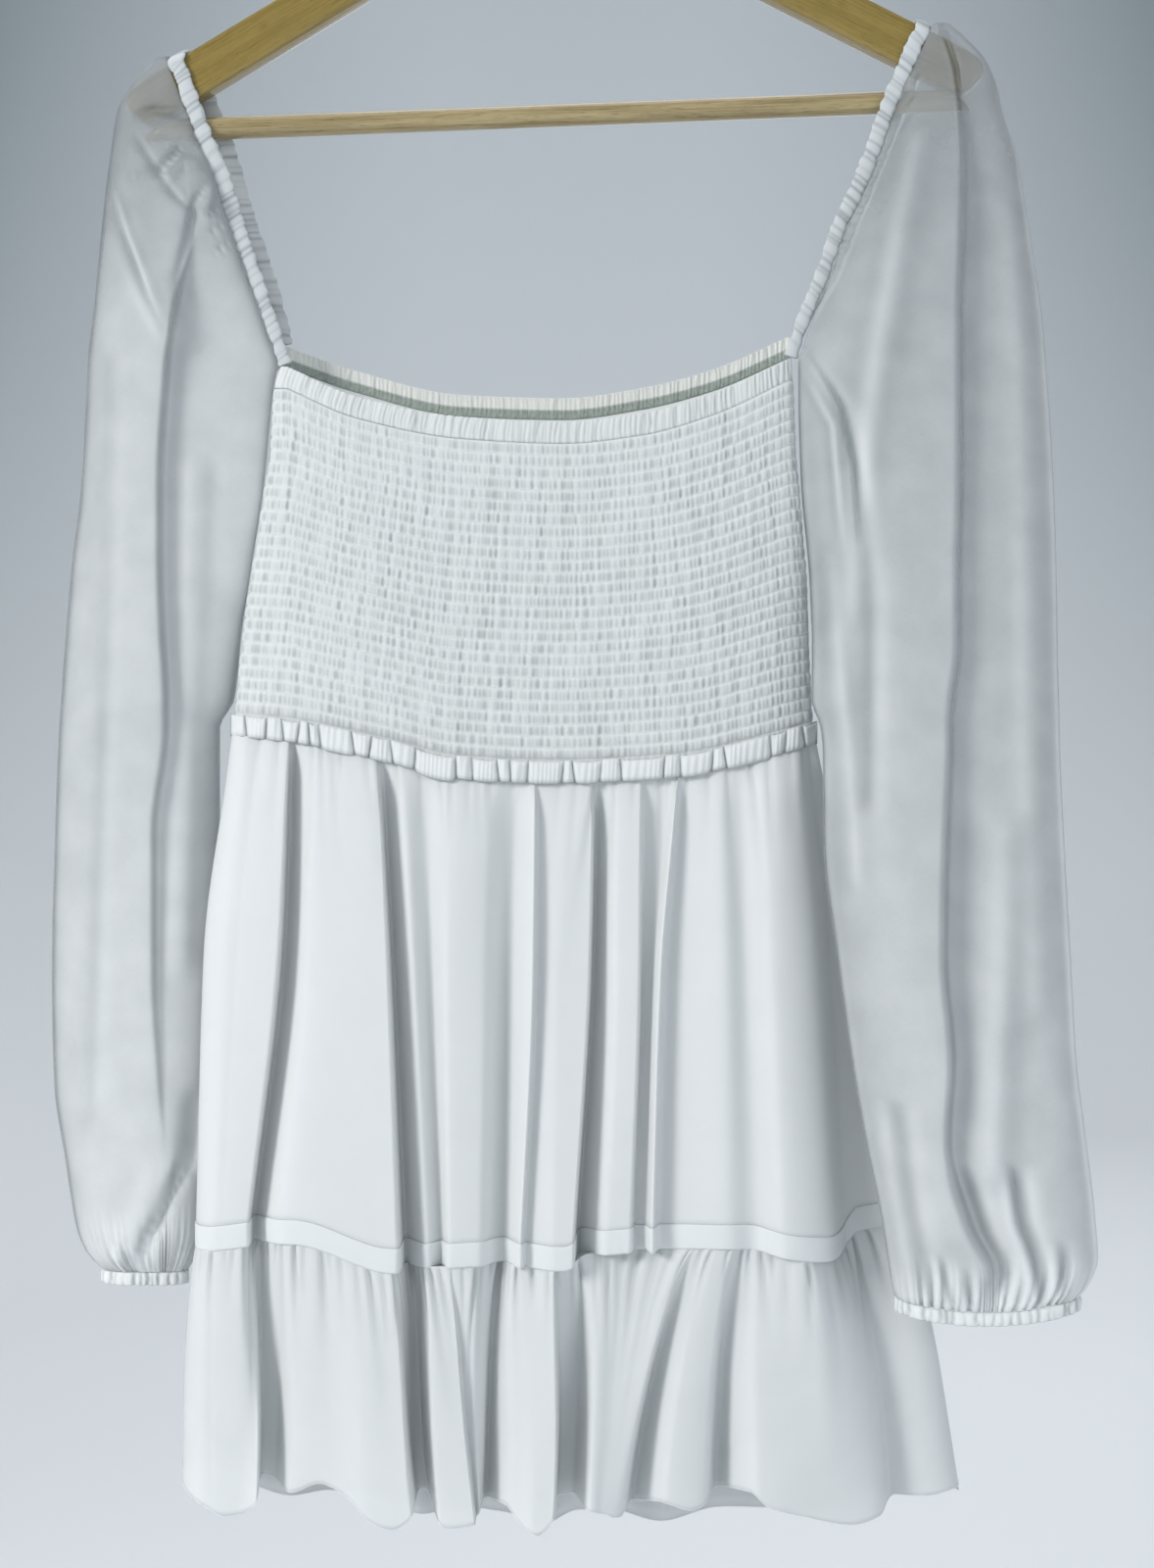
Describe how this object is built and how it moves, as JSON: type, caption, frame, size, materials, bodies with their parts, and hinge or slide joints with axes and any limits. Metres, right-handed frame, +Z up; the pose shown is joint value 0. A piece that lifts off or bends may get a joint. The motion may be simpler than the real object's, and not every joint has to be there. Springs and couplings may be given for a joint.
{
  "type": "mini dress on a hanger",
  "caption": "Sheer white mini dress with a smocked bodice, long full sleeves and a flounced skirt, hanging on a wooden hanger.",
  "frame": {"origin": "inner top of the hook, the point from which the hanger hangs", "axes": "+X to the viewer's right, +Y away from the viewer towards the dress's back, +Z up"},
  "size_m": [0.5334, 0.1136, 0.9308],
  "materials": {
    "hanger_wood": "golden varnish",
    "bar_wood": "clear varnish",
    "hook_steel": "plated wire",
    "shirred_chiffon": "shirred crepe chiffon",
    "gathered_trim": "gathered chiffon",
    "skirt_chiffon": "soft semi-sheer chiffon",
    "doubled_strip": "doubled chiffon",
    "flounce_chiffon": "soft semi-sheer chiffon",
    "sheer_sleeve": "sheer crinkled chiffon"
  },
  "bodies": {
    "root": {"hanger_body": "hanger_wood", "hanger_bar": "bar_wood", "hanger_hook": "hook_steel", "bodice_front": "shirred_chiffon", "bodice_back": "shirred_chiffon", "neck_casing_front": "gathered_trim", "neck_casing_back": "gathered_trim", "waist_frill_front": "gathered_trim", "waist_frill_back": "gathered_trim", "skirt_front": "skirt_chiffon", "skirt_back": "skirt_chiffon", "tier_band_front": "doubled_strip", "tier_band_back": "doubled_strip", "flounce_front": "flounce_chiffon", "flounce_back": "flounce_chiffon", "sleeve_left": "sheer_sleeve", "sleeve_right": "sheer_sleeve", "head_casing_left": "gathered_trim", "head_casing_right": "gathered_trim", "cuff_left": "gathered_trim", "cuff_right": "gathered_trim"}
  },
  "joints": []
}
